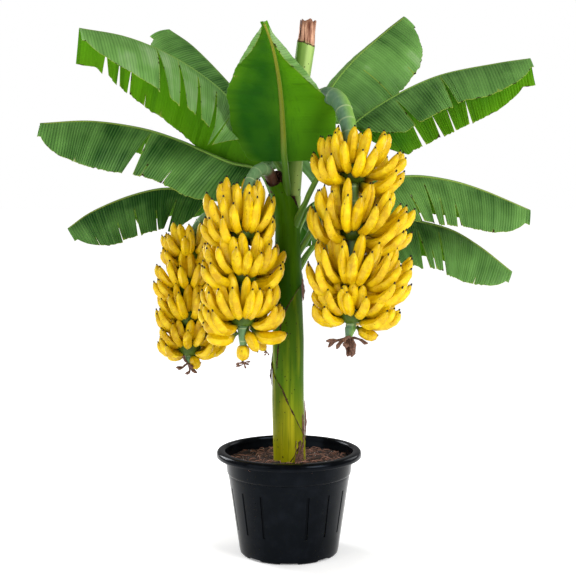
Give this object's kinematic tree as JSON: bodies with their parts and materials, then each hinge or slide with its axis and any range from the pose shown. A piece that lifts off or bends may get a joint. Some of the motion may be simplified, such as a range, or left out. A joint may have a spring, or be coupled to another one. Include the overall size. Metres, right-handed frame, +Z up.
{
  "type": "dwarf banana plant",
  "caption": "Dwarf banana plant in a black nursery pot: a green stem with broad, torn leaves and hanging bunches of yellow bananas.",
  "frame": {"origin": "centre of the pot's flat underside", "axes": "+Z up along the stem, -Y towards the front, where the fruit hangs, +X to the right seen from the front"},
  "size_m": [1.4844, 0.9142, 1.6271],
  "materials": {
    "pot_plastic": "satin black, moulded",
    "soil": "rough, crumbly",
    "stem_green": "smooth, waxy",
    "leaf_green": "waxy, ribbed",
    "stalk_green": "smooth, waxy",
    "banana_yellow": "smooth, waxy"
  },
  "bodies": {
    "root": {"pot": "pot_plastic", "soil": "soil", "pseudostem": "stem_green", "cut_stem": "stem_green", "sheath_spout": "stem_green", "leaf_upper_left": "leaf_green", "leaf_upper_left_back": "leaf_green", "leaf_left": "leaf_green", "leaf_lower_left": "leaf_green", "leaf_front": "leaf_green", "leaf_upper_right_back": "leaf_green", "leaf_upper_right": "leaf_green", "leaf_right": "leaf_green", "leaf_lower_right": "leaf_green", "leaf_back": "leaf_green", "leaf_lower_back": "leaf_green", "stalk_right": "stalk_green", "stalk_middle": "stalk_green", "stalk_back": "stalk_green", "hand_right_1": "banana_yellow", "hand_right_2": "banana_yellow", "hand_right_3": "banana_yellow", "hand_right_4": "banana_yellow", "hand_middle_1": "banana_yellow", "hand_middle_2": "banana_yellow", "hand_middle_3": "banana_yellow", "hand_middle_4": "banana_yellow", "hand_back_1": "banana_yellow", "hand_back_2": "banana_yellow", "hand_back_3": "banana_yellow", "hand_back_4": "banana_yellow"}
  },
  "joints": []
}
